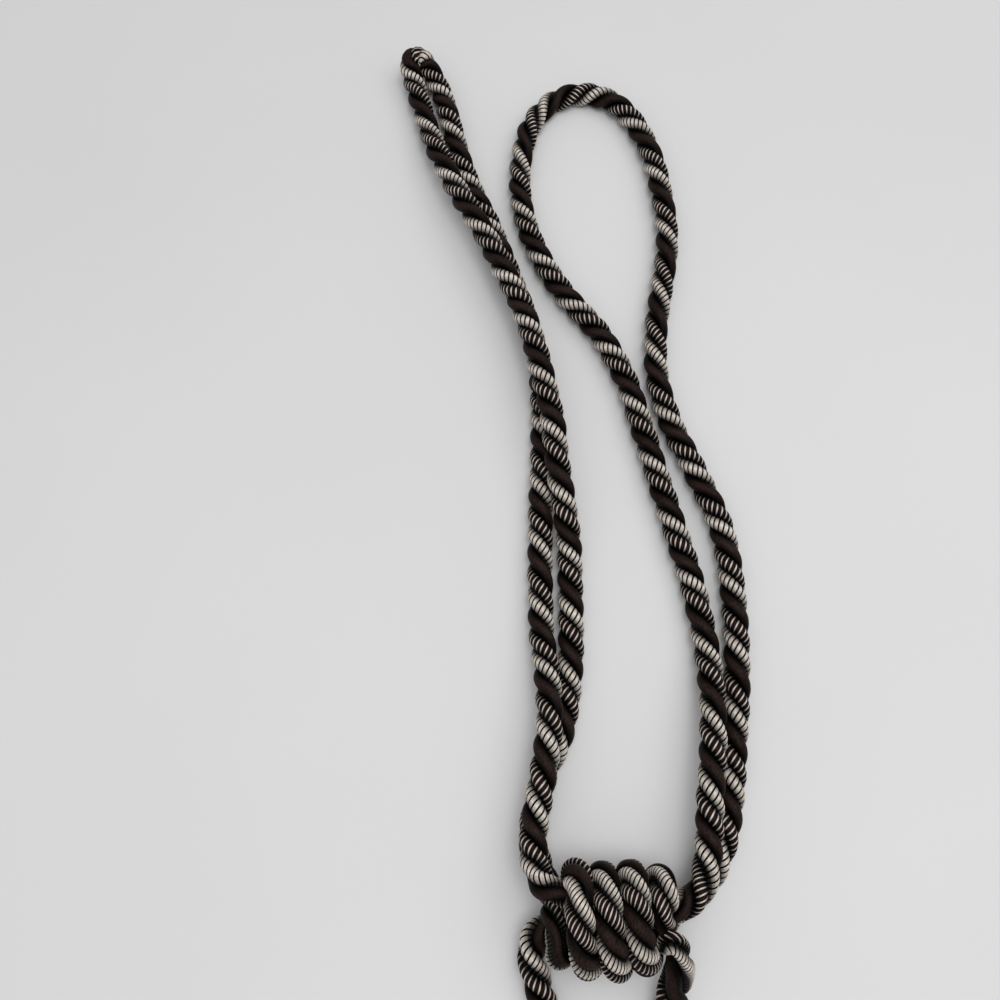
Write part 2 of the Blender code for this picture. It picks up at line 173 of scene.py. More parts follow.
LEFT_LOOP = [
    (0.0150, -0.0090, 0.0050), (0.0122, 0.0000, 0.0047), (0.0129, 0.0080, 0.0047),
    (0.0146, 0.0165, 0.0047), (0.0165, 0.0236, 0.0047), (0.0197, 0.0302, 0.0047),
    (0.0217, 0.0385, 0.0047), (0.0236, 0.0522, 0.0047), (0.0246, 0.0660, 0.0047),
    (0.0249, 0.0839, 0.0047), (0.0250, 0.0960, 0.0052), (0.0247, 0.1029, 0.0066),
    (0.0238, 0.1096, 0.0088), (0.0230, 0.1166, 0.0102), (0.0213, 0.1273, 0.0123),
    (0.0205, 0.1348, 0.0132), (0.0197, 0.1450, 0.0138), (0.0176, 0.1568, 0.0142),
    (0.0137, 0.1757, 0.0142), (0.0081, 0.1953, 0.0142), (0.0024, 0.2087, 0.0142),
    (-0.0038, 0.2225, 0.0142), (-0.0109, 0.2366, 0.0140), (-0.0188, 0.2526, 0.0120),
    (-0.0286, 0.2784, 0.0080), (-0.0319, 0.2900, 0.0066), (-0.0350, 0.3015, 0.0062),
    (-0.0375, 0.3105, 0.0066), (-0.0388, 0.3157, 0.0084), (-0.0380, 0.3190, 0.0104),
    (-0.0351, 0.3201, 0.0100), (-0.0321, 0.3185, 0.0076), (-0.0297, 0.3150, 0.0058),
    (-0.0276, 0.3108, 0.0049), (-0.0250, 0.3046, 0.0047), (-0.0226, 0.2956, 0.0047),
    (-0.0190, 0.2805, 0.0047), (-0.0151, 0.2655, 0.0047), (-0.0096, 0.2507, 0.0047),
    (-0.0033, 0.2360, 0.0047), (0.0016, 0.2217, 0.0047), (0.0064, 0.2077, 0.0047),
    (0.0107, 0.1941, 0.0047), (0.0141, 0.1807, 0.0047), (0.0158, 0.1677, 0.0047),
    (0.0161, 0.1487, 0.0047), (0.0160, 0.1374, 0.0047), (0.0152, 0.1184, 0.0047),
    (0.0148, 0.1011, 0.0047), (0.0147, 0.0842, 0.0050), (0.0151, 0.0677, 0.0060),
    (0.0168, 0.0514, 0.0095), (0.0170, 0.0359, 0.0135), (0.0149, 0.0214, 0.0145),
    (0.0139, 0.0160, 0.0145), (0.0123, 0.0074, 0.0145), (0.0114, -0.0004, 0.0148),
    (0.0118, -0.0078, 0.0170), (0.0150, -0.0138, 0.0203),
]
CORE_DOWN = [
    (0.0200, -0.0157, 0.0212), (0.0270, -0.0190, 0.0210), (0.0350, -0.0222, 0.0218),
    (0.0430, -0.0265, 0.0195), (0.0490, -0.0292, 0.0185),
]
LEG_OUT = [
    (0.0531, -0.0288, 0.0232), (0.0551, -0.0332, 0.0190), (0.0545, -0.0405, 0.0122),
    (0.0533, -0.0480, 0.0072), (0.0500, -0.0600, 0.0047), (0.0448, -0.0780, 0.0085),
    (0.0402, -0.0930, 0.0155), (0.0378, -0.1030, 0.0200), (0.0375, -0.1080, 0.0205),
]


def coil_point(turn):
    """A point of the knot's coil: the top edge at whole turns, the front a quarter turn on."""
    angle = 2 * math.pi * turn
    radius = COIL_RADIUS - LAST_TURN_DRAWN_IN * ramp(turn, *LAST_DRAWN_OVER)
    radius -= FIRST_TURN_DRAWN_IN * ramp(turn, *FIRST_DRAWN_OVER)
    middle_y = KNOT_Y - FIRST_TURNS_DOWN * ramp(turn, *DOWN_OVER)
    left = COIL_LEAN * math.cos(angle) + COIL_SWAY * math.sin(angle)
    left -= FIRST_TURN_RIGHT * ramp(turn, *RIGHT_OVER)
    return (COIL_START_X + COIL_PITCH * turn - left,
            middle_y + radius * math.cos(angle), KNOT_Z + radius * math.sin(angle))


def route_parts():
    """The named stretches of the rope's route, in order from the tassel's head back to it."""
    turns = np.arange(LAST_TURN, FIRST_TURN - TURN_STEP / 2, -TURN_STEP)
    coil = [coil_point(turn) for turn in turns]
    return {"leg in": LEG_IN, "core up": CORE_UP, "right loop": RIGHT_LOOP,
            "coil": COIL_IN + coil + COIL_OUT, "left loop": LEFT_LOOP, "core down": CORE_DOWN,
            "leg out": LEG_OUT}


def lengths_along(points):
    return summed(np.linalg.norm(np.diff(points, axis=0), axis=1))


def at_lengths(points, places, along=None):
    along = lengths_along(points) if along is None else along
    return np.stack([np.interp(places, along, points[:, axis]) for axis in range(3)], axis=-1)


def spline_stretch(a, b, c, d):
    """The centripetal Catmull-Rom curve from b up to c, with a before it and d after it."""
    tb = math.sqrt(np.linalg.norm(b - a))
    tc = tb + math.sqrt(np.linalg.norm(c - b))
    td = tc + math.sqrt(np.linalg.norm(d - c))
    stretch = []
    for t in np.linspace(tb, tc, SPLINE_CUTS, endpoint=False):
        ab = blend(a, b, t / tb)
        bc = blend(b, c, (t - tb) / (tc - tb))
        cd = blend(c, d, (t - tc) / (td - tc))
        abc = blend(ab, bc, t / tc)
        bcd = blend(bc, cd, (t - tb) / (td - tb))
        stretch.append(blend(abc, bcd, (t - tb) / (tc - tb)))
    return stretch


def smooth_curve(points, spacing):
    """A smooth curve through the points, read off at even steps."""
    knots = np.array(points, dtype=float)
    knots = np.vstack([2 * knots[0] - knots[1], knots, 2 * knots[-1] - knots[-2]])
    curve = []
    for index in range(1, len(knots) - 2):
        curve += spline_stretch(*knots[index - 1:index + 3])
    curve = np.array(curve + [knots[-2]])
    total = lengths_along(curve)[-1]
    return at_lengths(curve, np.linspace(0.0, total, int(round(total / spacing)) + 1))


def knot_share(points):
    """1 in the tightly drawn knot, falling to 0 away from it."""
    along = np.maximum(np.abs(points[:, 0] - KNOT_X) - KNOT_HALF[0], 0)
    across = np.maximum(np.abs(points[:, 1] - KNOT_Y) - KNOT_HALF[1], 0)
    return ramp(np.hypot(along, across), KNOT_FADE, 0)


def rope_radii(points, wrap_radius=WRAP_RADIUS):
    """The rope's radius at each point: thinner in the knot, thinnest inside its coil."""
    off_axis = np.hypot(points[:, 1] - KNOT_Y, points[:, 2] - KNOT_Z)
    off_middle = np.abs(points[:, 0] - KNOT_X)
    inside = ramp(off_axis, CORE_REACH, CORE_REACH - CORE_REACH_FADE)
    inside *= ramp(off_middle, CORE_HALF_LENGTH, CORE_HALF_LENGTH - CORE_LENGTH_FADE)
    return blend(ROPE_RADIUS, wrap_radius, knot_share(points)) + (CORE_RADIUS - wrap_radius) * inside


def distance_to(points, place):
    return np.linalg.norm(points - np.array(place), axis=1)


def settle(points):
    """Ease the rope's passes apart until none presses into another or into the table."""
    radii = rope_radii(points) * (1 - DIVE_SQUEEZE * ramp(distance_to(points, DIVE), *DIVE_OVER))
    need = radii[:, None] + radii[None, :] + GAP
    order = np.arange(len(points))
    apart = np.abs(order[:, None] - order[None, :]) >= int(round(NEAR_ALONG / SAMPLE))
    eased = points.copy()
    for _ in range(SETTLE_ROUNDS):
        away = eased[:, None, :] - eased[None, :, :]
        distance = np.maximum(np.linalg.norm(away, axis=2), 1e-9)
        close = apart & (distance < need)
        push = np.where(close, (need - distance) / 2, 0) / distance
        shared = np.maximum(close.sum(axis=1), 1)[:, None]
        eased += SETTLE_PUSH * (away * push[:, :, None]).sum(axis=1) / shared
        moved = eased - points
        sides = moved[:-2] + moved[2:]
        moved[1:-1] = SETTLE_STIFF * moved[1:-1] + (1 - SETTLE_STIFF) / 2 * sides
        eased = points + moved
        eased[:, 2] = np.maximum(eased[:, 2], radii - PRESSED)
    return eased


def carried_frames(points):
    """Two directions across the rope that turn no more than its route makes them."""
    tangents = np.gradient(points, axis=0)
    tangents /= np.linalg.norm(tangents, axis=1)[:, None]
    side = np.cross(tangents[0], (0.0, 0.0, 1.0))
    side /= np.linalg.norm(side)
    sides = [side]
    for tangent in tangents[1:]:
        side = side - tangent * np.dot(side, tangent)
        side /= np.linalg.norm(side)
        sides.append(side)
    sides = np.array(sides)
    return sides, np.cross(tangents, sides)


# ---------------------------------------------------------------- rope: twist
LAY = 0.0235                # length of one turn of the loose rope
KNOT_LAY = 0.0205
FINE = 0.0005               # spacing of the rope's finely read centre line
INTO_HEAD = 0.004           # how far each leg runs on into the tassel's head
TWIST_EASING = 0.007        # length over which changes of the lay are eased
STRETCH_EASE = 0.010        # the named stretches of the rope overlap by this much
LAY_PASSED = 0.4            # share of a turn from one edge mark to where the next is looked for
SURFACE_ANGLES = np.radians(np.arange(-85, 86, 5))      # from the side that faces the camera
NEAR_PIXELS, NEAR_TIMES = 2.0, 1.5      # surface this near to a mark may be what it shows
DARK, STRIPED, CREAM = 0, 1 / 3, 2 / 3      # each strand's share of a turn
LEFT, RIGHT = 1, -1         # sides of the way the rope runs, as the camera sees it
ENDS_LEFT, STARTS_RIGHT = (LEFT, 1 / 6), (RIGHT, -1 / 6)
RIDGE = None

# How the strands lie in the photograph: where a strand ends or starts at an edge of the rope,
# or where its ridge is. Each is a place in the picture, read off it, and some were moved or left
# out after renders were laid beside the photograph.
LEG_IN_DARK_END = [(525, 982)]
LEG_IN_DARK_RIDGE = [(540, 936)]
LEG_IN_CREAM_RIDGES = [(519, 938.7), (531.5, 957.7)]
LEG_IN_STRIPED_RIDGE = [(540.4, 989.3)]
RIGHT_LOOP_DARK_RIDGE = [(687, 898)]
RIGHT_LOOP_STRIPED_RIDGE = [(701, 889.3)]
RIGHT_LOOP_CREAM_RIDGE = [(708.8, 858.1)]
RIGHT_LOOP_DARK_ENDS = [
    (694.0, 808.0), (700.0, 739.0), (700.0, 669.0), (686.7, 600.0), (669.6, 542.7),
    (649.0, 484.0), (630.7, 425.5), (611.6, 367.4), (578.5, 322.9), (542.4, 279.4),
    (519.1, 228.9), (509.6, 177.2), (525.9, 119.9), (578.5, 84.2), (635.1, 106.6),
    (663.9, 161.3), (677.3, 218.0), (672.4, 281.8), (666.4, 342.2), (673.8, 401.1),
    (698.5, 452.0), (728.8, 508.7), (744.0, 570.5), (748.1, 632.5), (751.2, 700.0),
    (744.9, 765.9), (734.2, 834.3),
]
COIL_CREAM_RIDGES = [
    (653, 866.5), (670.7, 886.3), (624, 869), (636.9, 877.2), (647.3, 960.4),
    (597.4, 872.2), (609.1, 883.3), (618.7, 970.8), (567, 879.8), (579.7, 901.5),
]
COIL_STRIPED_RIDGES = [
    (663.3, 902.9), (668.2, 917.8), (636, 896.3), (608.3, 911.9), (583.1, 937.9),
]
COIL_DARK_RIDGES = [
    (641.2, 930.9), (627.8, 860.1), (610.9, 941.3), (598.7, 860.1), (586, 966.5),
    (568, 867.4), (559.5, 936), (558, 950), (561, 966),
]
LEFT_LOOP_UP_STARTS = [
    (567.4, 748.5), (581.5, 682.4), (582.9, 619.1), (581.0, 558.4), (572.9, 499.8),
    (565.6, 436.9), (555.8, 380.0), (541.0, 325.7),
]
LEFT_LOOP_TIP_ENDS = [
    (506.4, 297.6), (480.0, 249.3), (449.2, 198.2), (424.1, 147.1), (407.2, 92.0),
    (459.1, 118.1), (474.8, 166.5), (492.3, 209.7), (514.6, 256.8),
]
LEFT_LOOP_DOWN_STARTS = [
    (528.8, 374.3), (531.7, 427.1), (530.6, 486.3), (530.1, 542.1), (530.1, 606.7),
    (537.5, 667.2), (539.7, 732.8), (526.6, 799.8), (522.2, 875.1),
]
LEFT_LOOP_CREAM_RIDGES = [(413.5, 74), (424, 53), (440.7, 86.5), (535.5, 877.2)]
LEFT_LOOP_STRIPED_RIDGES = [(416.5, 51), (437, 74)]
LEFT_LOOP_DARK_RIDGES = [(411, 61), (432, 61), (445.8, 99), (540.7, 897.1)]
LEG_OUT_CREAM_RIDGES = [(670.5, 952.5), (691, 969)]
LEG_OUT_DARK_RIDGES = [(671.5, 984), (670.5, 997)]

MARKS = [                   # the stretch, the strand, what is seen of it there, and where
    ("leg in", DARK, ENDS_LEFT, LEG_IN_DARK_END),
    ("leg in", DARK, RIDGE, LEG_IN_DARK_RIDGE),
    ("leg in", CREAM, RIDGE, LEG_IN_CREAM_RIDGES),
    ("leg in", STRIPED, RIDGE, LEG_IN_STRIPED_RIDGE),
    ("right loop", DARK, RIDGE, RIGHT_LOOP_DARK_RIDGE),
    ("right loop", STRIPED, RIDGE, RIGHT_LOOP_STRIPED_RIDGE),
    ("right loop", CREAM, RIDGE, RIGHT_LOOP_CREAM_RIDGE),
    ("right loop", DARK, ENDS_LEFT, RIGHT_LOOP_DARK_ENDS),
    ("coil", CREAM, RIDGE, COIL_CREAM_RIDGES),
    ("coil", STRIPED, RIDGE, COIL_STRIPED_RIDGES),
    ("coil", DARK, RIDGE, COIL_DARK_RIDGES),
    ("left loop", DARK, STARTS_RIGHT, LEFT_LOOP_UP_STARTS),
    ("left loop", DARK, ENDS_LEFT, LEFT_LOOP_TIP_ENDS),
    ("left loop", DARK, STARTS_RIGHT, LEFT_LOOP_DOWN_STARTS),
    ("left loop", CREAM, RIDGE, LEFT_LOOP_CREAM_RIDGES),
    ("left loop", STRIPED, RIDGE, LEFT_LOOP_STRIPED_RIDGES),
    ("left loop", DARK, RIDGE, LEFT_LOOP_DARK_RIDGES),
    ("leg out", CREAM, RIDGE, LEG_OUT_CREAM_RIDGES),
    ("leg out", DARK, RIDGE, LEG_OUT_DARK_RIDGES),
]


def counted_turns(places, shares, along, usual):
    """Adds to each mark's share the whole turns that bring it nearest to the usual lay."""
    expected = np.interp(places, along, usual)
    turns = [shares[0] + round(expected[0] - shares[0])]
    for share, advance in zip(shares[1:], np.diff(expected)):
        turns.append(share + round(turns[-1] + advance - share))
    return np.array(turns)


def eased_over(values, half):
    """The values averaged over a soft window, run on evenly past both ends."""
    window = np.hanning(2 * half + 3)[1:-1]
    window /= window.sum()
    before = 2 * values[0] - values[half:0:-1]
    after = 2 * values[-1] - values[-2:-half - 2:-1]
    return np.convolve(np.concatenate([before, values, after]), window, "valid")


class Rope:
    """The rope's settled centre line, its directions across, and its twist, along its length."""

    def __init__(self):
        parts = route_parts()
        route = sum(parts.values(), [])
        coarse = settle(smooth_curve(route, SAMPLE))
        run_on = np.array([0.0, -INTO_HEAD, 0.0])
        self.line = smooth_curve(np.vstack([coarse[0] + run_on, coarse, coarse[-1] + run_on]), FINE)
        self.along = lengths_along(self.line)
        self.length = self.along[-1]
        self.sides, self.ups = carried_frames(self.line)
        swell = 1 + SLACK_SWELL * ramp(distance_to(self.line, SLACK), *SLACK_OVER)
        self.radii = rope_radii(self.line, SEEN_WRAP_RADIUS) * swell
        self.stretches = self.find_stretches(parts, lengths_along(np.array(route)))
        self.turns = self.read_twist()

    def find_stretches(self, parts, knots):
        """From where to where along the rope each named stretch of its route runs."""
        firsts = summed([len(part) for part in parts.values()]).astype(int)
        places = knots[np.minimum(firsts, len(knots) - 1)] / knots[-1] * self.length
        return {name: (start - STRETCH_EASE, end + STRETCH_EASE)
                for name, start, end in zip(parts, places, places[1:])}

    def facing(self, indexes):
        """The angle round the rope of the side that faces the camera."""
        to_camera = CAMERA_AT - self.line[indexes]
        return np.arctan2((to_camera * self.ups[indexes]).sum(axis=-1),
                          (to_camera * self.sides[indexes]).sum(axis=-1))

    def indexes_between(self, low, high):
        return np.nonzero((self.along >= low) & (self.along <= high))[0]

    def edge_seen_at(self, place, side, low, high):
        """Where along the rope a place at its seen edge is, and that edge's angle round it."""
        chosen = self.indexes_between(low, high)
        angles = self.facing(chosen) - side * math.pi / 2
        points = self.place(self.along[chosen], angles, self.radii[chosen])
        nearest = int(np.argmin(np.linalg.norm(in_picture(points) - np.array(place), axis=1)))
        return int(chosen[nearest]), float(angles[nearest])

    def ridge_seen_at(self, place, low, high):
        """Where along the rope, and at what angle round it, the surface seen at a place is."""
        chosen = self.indexes_between(low, high)
        angles = self.facing(chosen)[:, None] + SURFACE_ANGLES[None, :]
        points = self.place(self.along[chosen][:, None], angles, self.radii[chosen][:, None])
        away = np.linalg.norm(in_picture(points) - np.array(place), axis=-1)
        depth = np.linalg.norm(points - CAMERA_AT, axis=-1)
        front = depth[away < max(NEAR_TIMES * away.min(), NEAR_PIXELS)].min()
        seen = depth < front + ROPE_RADIUS / 3
        row, column = np.unravel_index(np.argmin(np.where(seen, away, np.inf)), depth.shape)
        return int(chosen[row]), float(angles[row, column])

    def marked_shares(self):
        """Each mark's place along the rope and the share of a turn there, in order."""
        marks = []
        searched_to = {}
        for name, strand, seen, places in MARKS:
            low, high = self.stretches[name]
            for place in places:
                if seen is RIDGE:
                    contact = 0.0
                    index, angle = self.ridge_seen_at(place, low, high)
                else:
                    side, contact = seen
                    start = max(low, searched_to.get(name, 0))
                    index, angle = self.edge_seen_at(place, side, start, high)
                    searched_to[name] = self.along[index] + LAY_PASSED * LAY
                marks.append((self.along[index], strand + contact - angle / (2 * math.pi)))
        return zip(*sorted(marks))

    def read_twist(self):
        """Turns of twist up to each point, from the marks and the usual lay between them."""
        lay = blend(LAY, KNOT_LAY, knot_share(self.line))
        usual = summed(np.diff(self.along) / between(lay))
        places, shares = self.marked_shares()
        turns = counted_turns(places, shares, self.along, usual)
        extra = turns - np.interp(places, self.along, usual)
        turns = usual + np.interp(self.along, places, extra)
        return eased_over(turns, int(TWIST_EASING / FINE / 2))

    def place(self, along, angle, out):
        """Points at a length along, an angle round and a distance out from the centre line."""
        centre = at_lengths(self.line, along, self.along)
        side = at_lengths(self.sides, along, self.along)
        up = at_lengths(self.ups, along, self.along)
        across = side * np.cos(angle)[..., None] + up * np.sin(angle)[..., None]
        return centre + across * out[..., None]


# ---------------------------------------------------------------- meshes
HELIX_SHARE = 0.520         # a strand's middle lies this share of the rope's radius out
STRAND_SHARE = 0.480        # and the strand's own radius is this share
STRAND_REACH = math.radians(59.4)   # how far round a strand can spread to its neighbours
THREADS = 3                 # wound side by side round each strand
YARN_UNITS = 1000           # a yarn's surface is laid out in millimetres


def add_mesh(name, points, faces, materials, face_materials, uv):
    mesh = bpy.data.meshes.new(name)
    mesh.from_pydata(points.tolist(), [], faces)
    for made in materials:
        mesh.materials.append(made)
    mesh.polygons.foreach_set("material_index", np.asarray(face_materials, np.int32))
    layer = mesh.uv_layers.new(name="yarn")
    layer.uv.foreach_set("vector", np.asarray(uv, np.float32).ravel())
    mesh.shade_smooth()
    mesh.update()
    thing = bpy.data.objects.new(name, mesh)
    bpy.context.scene.collection.objects.link(thing)
    return thing


def strand_points(rope, phase, wound, rows, rises, columns):
    """A strand's surface: each row runs once round it while its threads advance."""
    turn_rate = np.gradient(rope.turns, rope.along)
    wound_at = rows[:, None] + THREADS * (columns - columns[0]) / (2 * math.pi)
    along = np.interp(wound_at, wound, rope.along)
    helix = np.interp(along, rope.along, rope.radii * HELIX_SHARE)
    lean = np.arctan(2 * math.pi * helix * np.interp(along, rope.along, turn_rate))
    radius = helix * STRAND_SHARE / HELIX_SHARE + rises[:, None]
    outward = helix + radius * np.cos(columns)
    sideways = radius * np.sin(columns) * np.cos(lean)
    along_there = np.clip(along + radius * np.sin(columns) * np.sin(lean), 0.0, rope.length)
    middle = -2 * math.pi * (np.interp(along, rope.along, rope.turns) - phase)
    middle_there = -2 * math.pi * (np.interp(along_there, rope.along, rope.turns) - phase)
    spread = middle + np.arctan2(sideways, outward) - middle_there
    angle = middle_there + np.clip(spread, -STRAND_REACH, STRAND_REACH)
    points = rope.place(along_there, angle, np.hypot(outward, sideways))
    points[..., 2] = np.maximum(points[..., 2], LOWEST)
    return points


def strand_faces(rows, columns, shift, kinds):
    """Faces between the rows; round the seam, a row's end meets the row that is shift on."""
    index = np.arange(rows * columns).reshape(rows, columns)
    near, far = index[:-1, :-1].ravel(), index[:-1, 1:].ravel()
    quads = np.stack([near, far, far + columns, near + columns], axis=1)
    seam_rows = np.arange(rows - 1 - shift)
    seam = np.stack([index[seam_rows, -1], index[seam_rows + shift, 0],
                     index[seam_rows + shift + 1, 0], index[seam_rows + 1, -1]], axis=1)
    start_cap = np.concatenate([index[0, :], index[shift:0:-1, 0]])[::-1]
    end_cap = np.concatenate([index[-1, :], index[-2:-shift - 2:-1, -1]])
    faces = quads.tolist() + seam.tolist() + [start_cap.tolist(), end_cap.tolist()]
    face_kinds = np.concatenate([np.repeat(kinds, columns - 1), kinds[seam_rows], [0, 0]])
    return faces, face_kinds


def strip_uv(low, high, near, far):
    """The four corners, on the laid out yarn, of each face that strand_faces or ring_faces makes."""
    corners = [np.stack(pair, axis=1) for pair in ((low, near), (low, far), (high, far), (high, near))]
    return np.stack(corners, axis=1).reshape(-1, 2)


def strand_uv(lengths, columns, shift):
    """Places on the laid out yarn: along the strand, and round it."""
    rows, count = len(lengths), len(columns)
    round_at = STRAND_WIDTH * (columns - columns[0])
    row, column = np.divmod(np.arange((rows - 1) * (count - 1)), count - 1)
    faces = strip_uv(lengths[row], lengths[row + 1], round_at[column], round_at[column + 1])
    seam = np.arange(rows - 1 - shift)
    edge, full = np.full(len(seam), round_at[-1]), np.full(len(seam), 2 * math.pi * STRAND_WIDTH)
    caps = np.zeros((2 * (count + shift), 2))
    return np.vstack([faces, strip_uv(lengths[seam], lengths[seam + 1], edge, full), caps])


def strand_mesh(rope, name, phase, materials, profile, pitches, column_degrees):
    """One strand of the rope as a closed tube, its rows following its wrapping threads.

    profile lists, over one pitch of the wrapping: (place in the pitch, rise, material).
    pitches are the wrapping's pitch in the loose rope and in the knot.
    """
    turn_rate = np.gradient(rope.turns, rope.along)
    stretch = np.hypot(1.0, 2 * math.pi * rope.radii * HELIX_SHARE * turn_rate)
    own = summed(np.diff(rope.along) * between(stretch))
    pitch = blend(pitches[0], pitches[1], knot_share(rope.line))
    wound = summed(np.diff(own) / between(pitch))
    wraps = int(wound[-1] - THREADS)
    places, rises, kinds = (np.array(values) for values in zip(*profile))
    rows = (np.arange(wraps)[:, None] + places[None, :]).ravel()
    columns = np.radians(np.array(column_degrees, float))
    shift = THREADS * len(profile)
    points = strand_points(rope, phase, wound, rows, np.tile(rises, wraps), columns)
    faces, face_kinds = strand_faces(len(rows), len(columns), shift, np.tile(kinds, wraps)[:-1])
    uv = strand_uv(np.interp(rows, wound, own) * YARN_UNITS, columns, shift)
    return add_mesh(name, points.reshape(-1, 3) - MIDDLE, faces, materials, face_kinds, uv)


# ---------------------------------------------------------------- materials
STRAND_WIDTH = ROPE_RADIUS * STRAND_SHARE * YARN_UNITS    # a strand's radius, as laid out
RIDGE_AT = STRAND_WIDTH * math.radians(165)         # where its ridge is, round the strand
GROOVE_AT = STRAND_WIDTH * math.radians(88)         # and how far from the ridge its groove is
# Painted shade: how much of the yarn's colour is left, from its ridge (0), where it is lit, down the
# strand's rounded side to the groove between strands (1), where it is in shade.
DARK_YARN_PAINTED_SHADE = ((0.0, 1.0), (0.30, 0.75), (0.62, 0.22), (0.92, 0.02))
LIGHT_YARN_PAINTED_SHADE = ((0.0, 1.0), (0.30, 0.74), (0.60, 0.33), (0.88, 0.02))
FIBRE_DETAIL, FIBRE_ROUGHNESS = 5.0, 0.6
PATCH_SCALE, PATCH_DETAIL = 90.0, 2.0
PATCH_SHARE = 0.25          # of the slow changes of tone, against the fibres
TONE_FROM, TONE_TO = 0.35, 0.65     # the noise at which a yarn is darkest and lightest
RELIEF = 0.35
RELIEF_DEPTH = 0.0001
SHEEN_ROUGHNESS = 0.4
ROPE_FIBRE = (3.5, 0.6)     # fibres to a millimetre, along the yarn and round it
WOUND_FIBRE = (0.5, 9.0)
BINDING_FIBRE = (0.8, 9.0)


def new_material(name):
    made = bpy.data.materials.new(name)
    made.use_nodes = True
    nodes, links = made.node_tree.nodes, made.node_tree.links
    return made, nodes, links, nodes["Principled BSDF"]


def add_noise(nodes, links, place, scale, detail, roughness=0.5):
    noise = nodes.new("ShaderNodeTexNoise")
    noise.inputs["Scale"].default_value = scale
    noise.inputs["Detail"].default_value = detail
    noise.inputs["Roughness"].default_value = roughness
    links.new(place, noise.inputs["Vector"])
    return noise.outputs["Fac"]


def add_math(nodes, links, operation, value, other=0.0):
    """A Math node: the operation on a value and, where it takes two, on a number."""
    node = nodes.new("ShaderNodeMath")
    node.operation = operation
    node.inputs[1].default_value = other
    links.new(value, node.inputs[0])
    return node.outputs["Value"]


def add_ramp(nodes, links, value, stops, interpolation="LINEAR"):
    """A colour ramp through the stops: (position, colour)."""
    colours = nodes.new("ShaderNodeValToRGB")
    colours.color_ramp.interpolation = interpolation
    for position, _ in stops[1:-1]:
        colours.color_ramp.elements.new(position)
    for element, (position, colour) in zip(colours.color_ramp.elements, stops):
        element.position = position
        element.color = (*colour, 1.0)
    links.new(value, colours.inputs["Fac"])
    return colours.outputs["Color"]


def paint_groove_shade(nodes, links, place, colour, painted_shade):
    """Paints shade into the yarn's colour: darker down each strand's rounded side and darkest in the
    grooves between the strands, where the strands shade each other.
    """
    parts = nodes.new("ShaderNodeSeparateXYZ")
    links.new(place, parts.inputs["Vector"])
    off_ridge = add_math(nodes, links, "SUBTRACT", parts.outputs["Y"], RIDGE_AT)
    share = add_math(nodes, links, "DIVIDE", off_ridge, GROOVE_AT)
    stops = [(position, (left, left, left)) for position, left in painted_shade]
    shade = add_ramp(nodes, links, add_math(nodes, links, "ABSOLUTE", share), stops, "EASE")
    shaded = nodes.new("ShaderNodeMix")
    shaded.data_type = "RGBA"
    shaded.blend_type = "MULTIPLY"
    shaded.inputs["Factor"].default_value = 1.0
    links.new(colour, shaded.inputs["A"])
    links.new(shade, shaded.inputs["B"])
    return shaded.outputs["Result"]


def add_fibres(nodes, links, place, fibre):
    """Noise drawn out into fibres along the laid out yarn."""
    scaled = nodes.new("ShaderNodeMapping")
    scaled.inputs["Scale"].default_value = (*fibre, 1.0)
    links.new(place, scaled.inputs["Vector"])
    return add_noise(nodes, links, scaled.outputs["Vector"], 1.0, FIBRE_DETAIL, FIBRE_ROUGHNESS)


def add_patches(nodes, links, fibres):
    """The fibres' noise with some of a slower one, which runs through the whole object."""
    where = nodes.new("ShaderNodeTexCoord")
    patches = add_noise(nodes, links, where.outputs["Object"], PATCH_SCALE, PATCH_DETAIL)
    both = nodes.new("ShaderNodeMix")
    both.data_type = "FLOAT"
    both.inputs["Factor"].default_value = PATCH_SHARE
    links.new(fibres, both.inputs["A"])
    links.new(patches, both.inputs["B"])
    return both.outputs["Result"]


def add_relief(nodes, links, fibres):
    relief = nodes.new("ShaderNodeBump")
    relief.inputs["Strength"].default_value = RELIEF
    relief.inputs["Distance"].default_value = RELIEF_DEPTH
    links.new(fibres, relief.inputs["Height"])
    return relief.outputs["Normal"]


def yarn_material(name, dark, light, roughness, sheen, fibre=ROPE_FIBRE, painted_shade=None, specular=0.2):
    """Spun or wound yarn: fine fibres along the winding, and slow changes of tone. Given a shade ramp,
    its colour also gets painted shade towards the grooves between the strands.
    """
    made, nodes, links, shader = new_material(name)
    place = nodes.new("ShaderNodeUVMap")
    place.uv_map = "yarn"
    fibres = add_fibres(nodes, links, place.outputs["UV"], fibre)
    tone = add_patches(nodes, links, fibres)
    colour = add_ramp(nodes, links, tone, ((TONE_FROM, dark), (TONE_TO, light)))
    # Painted shade: the yarn's colour darkens from each strand's ridge towards the grooves.
    if painted_shade is not None:
        colour = paint_groove_shade(nodes, links, place.outputs["UV"], colour, painted_shade)
    links.new(colour, shader.inputs["Base Color"])
    links.new(add_relief(nodes, links, fibres), shader.inputs["Normal"])
    shader.inputs["Roughness"].default_value = roughness
    shader.inputs["Specular IOR Level"].default_value = specular
    shader.inputs["Sheen Weight"].default_value = sheen
    shader.inputs["Sheen Roughness"].default_value = SHEEN_ROUGHNESS
    shader.inputs["Sheen Tint"].default_value = (*light, 1.0)
    return made


def floor_material():
    made, nodes, links, shader = new_material("table_top")
    where = nodes.new("ShaderNodeTexCoord")
    noise = add_noise(nodes, links, where.outputs["Object"], 6.0, 5.0)
    tone = add_ramp(nodes, links, noise, ((0.0, (0.70, 0.70, 0.70)), (1.0, (0.76, 0.76, 0.77))))
    links.new(tone, shader.inputs["Base Color"])
    shader.inputs["Roughness"].default_value = 0.55
    return made


# ---------------------------------------------------------------- the rope's pieces
THREAD, YARN = 1, 0
MM = 0.001
